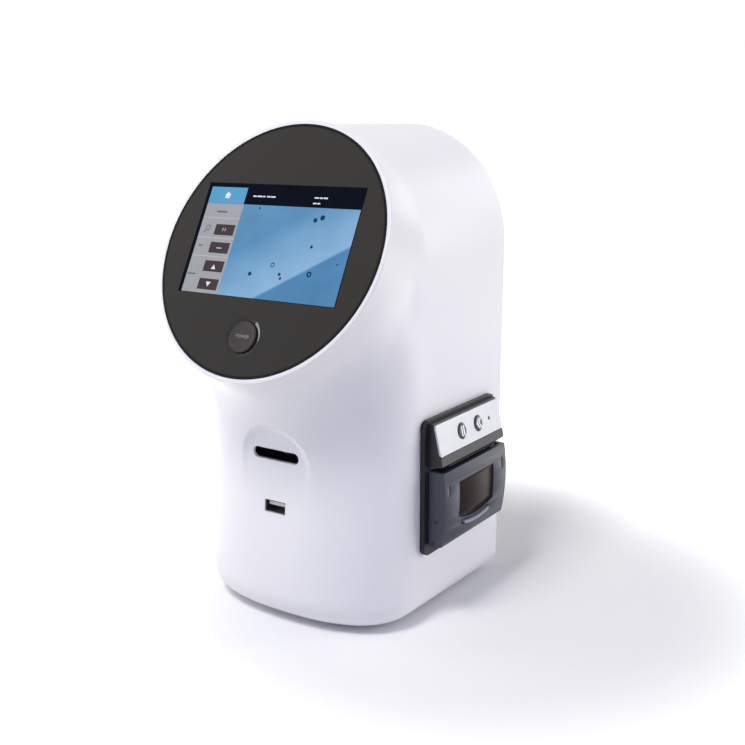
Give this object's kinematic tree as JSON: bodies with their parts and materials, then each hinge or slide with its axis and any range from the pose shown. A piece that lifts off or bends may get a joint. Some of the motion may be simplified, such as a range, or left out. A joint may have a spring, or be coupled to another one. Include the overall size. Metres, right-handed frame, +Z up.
{
  "type": "automated cell counter",
  "caption": "Bench-top automated cell counter: white arch-topped column with a tilted round glass display, a front slide slot and USB port, and a label printer in its side.",
  "frame": {"origin": "on the bench, under the middle of the column", "axes": "+X to the right seen from the front, +Y to the back, +Z up"},
  "size_m": [0.1695, 0.1772, 0.2875],
  "materials": {
    "white_shell": "smooth gloss",
    "base_plastic": "matt",
    "foot_rubber": "matt",
    "steel": "satin",
    "smoked_glass": "polished",
    "lcd": "smooth",
    "dark_plastic": "matt",
    "button_black": "satin",
    "circuit_board": "satin",
    "port_metal": "polished",
    "port_plastic": "matt",
    "frame_alloy": "anodised",
    "lens_glass": "polished",
    "barrel_black": "anodised",
    "carriage_alloy": "machined",
    "camera_case": "satin",
    "screw_brass": "machined",
    "motor_steel": "satin",
    "printer_grey": "satin",
    "printer_black": "matt",
    "panel_silver": "satin",
    "key_black": "smooth",
    "lamp_green": "clear",
    "head_ceramic": "satin",
    "paper": "matt",
    "smoked_window": "polished",
    "platen_rubber": "matt",
    "gear_plastic": "satin"
  },
  "bodies": {
    "base": {"main_housing": "white_shell", "rear_cover": "white_shell", "base_plate": "base_plastic", "rubber_feet": "foot_rubber", "base_screws": "steel", "rear_screws": "steel", "cover_glass": "smoked_glass", "display_module": "lcd", "display_carrier": "dark_plastic", "carrier_screws": "steel", "switch_board": "circuit_board", "usb_shell": "port_metal", "usb_tongue": "port_plastic", "usb_board": "circuit_board", "slide_guide": "dark_plastic", "optics_frame": "frame_alloy", "lamp_housing": "dark_plastic", "lamp_board": "circuit_board", "condenser_lens": "lens_glass", "guide_rods": "steel", "focus_motor": "motor_steel", "main_board": "circuit_board", "board_screws": "steel", "power_inlet": "dark_plastic", "printer_bezel": "printer_grey", "printer_case": "printer_black", "control_panel": "panel_silver", "status_lamp": "lamp_green", "key_board": "circuit_board", "tear_bar": "steel", "print_head": "head_ceramic", "printer_motor": "motor_steel", "paper_roll": "paper", "hinge_pins": "steel"},
    "power_button": {"power_button": "button_black"},
    "pause_button": {"pause_button": "key_black"},
    "feed_button": {"feed_button": "key_black"},
    "door": {"printer_door": "printer_grey", "door_window": "smoked_window", "latch_pin": "steel"},
    "latch": {"door_latch": "printer_grey"},
    "platen": {"platen_roller": "platen_rubber", "platen_gear": "gear_plastic"},
    "drive_gear": {"drive_gear": "gear_plastic"},
    "pinion": {"motor_pinion": "screw_brass"},
    "focus_stage": {"focus_carriage": "carriage_alloy", "objective": "barrel_black", "camera": "camera_case"},
    "lead_screw": {"lead_screw": "screw_brass"}
  },
  "joints": [
    {"name": "power_press", "type": "slide", "parent": "base", "child": "power_button", "axis": [0, 0.8862, -0.4633], "range_m": [0, 0.0008], "stiffness_N_per_m": 600, "springref_m": -0.0005},
    {"name": "pause_press", "type": "slide", "parent": "base", "child": "pause_button", "axis": [-0.9751, 0, -0.2215], "range_m": [0, 0.0005], "stiffness_N_per_m": 500, "springref_m": -0.0004},
    {"name": "feed_press", "type": "slide", "parent": "base", "child": "feed_button", "axis": [-0.9751, 0, -0.2215], "range_m": [0, 0.0005], "stiffness_N_per_m": 500, "springref_m": -0.0004},
    {"name": "door_hinge", "type": "hinge", "parent": "base", "child": "door", "pos_m": [0.07725, 0.0165, 0.05], "axis": [0, 1, 0], "range_deg": [0, 85]},
    {"name": "latch_pivot", "type": "hinge", "parent": "door", "child": "latch", "pos_m": [0.07925, 0.0165, 0.063], "axis": [0, 1, 0], "range_deg": [-8, 0], "stiffness_Nm_per_rad": 0.02, "springref_deg": 5.73},
    {"name": "platen_turn", "type": "hinge", "parent": "door", "child": "platen", "pos_m": [0.07495, 0.0165, 0.0855], "axis": [0, 1, 0], "continuous": true},
    {"name": "drive_gear_turn", "type": "hinge", "parent": "base", "child": "drive_gear", "pos_m": [0.05995, 0.0165, 0.09328], "axis": [0, 1, 0], "continuous": true},
    {"name": "pinion_turn", "type": "hinge", "parent": "base", "child": "pinion", "pos_m": [0.05088, 0.0165, 0.10408], "axis": [0, 1, 0], "continuous": true},
    {"name": "focus_slide", "type": "slide", "parent": "base", "child": "focus_stage", "axis": [0, 0, 1], "range_m": [-0.003, 0.003]},
    {"name": "lead_screw_turn", "type": "hinge", "parent": "base", "child": "lead_screw", "pos_m": [0, -0.006, 0.05], "axis": [0, 0, 1], "range_deg": [-545, 545]}
  ],
  "couplings": [
    {"joint": "drive_gear_turn", "follows": "platen_turn", "ratio": -0.71429},
    {"joint": "pinion_turn", "follows": "platen_turn", "ratio": 1.6667},
    {"joint": "lead_screw_turn", "follows": "focus_slide", "rad_per_m": 3141.6}
  ]
}
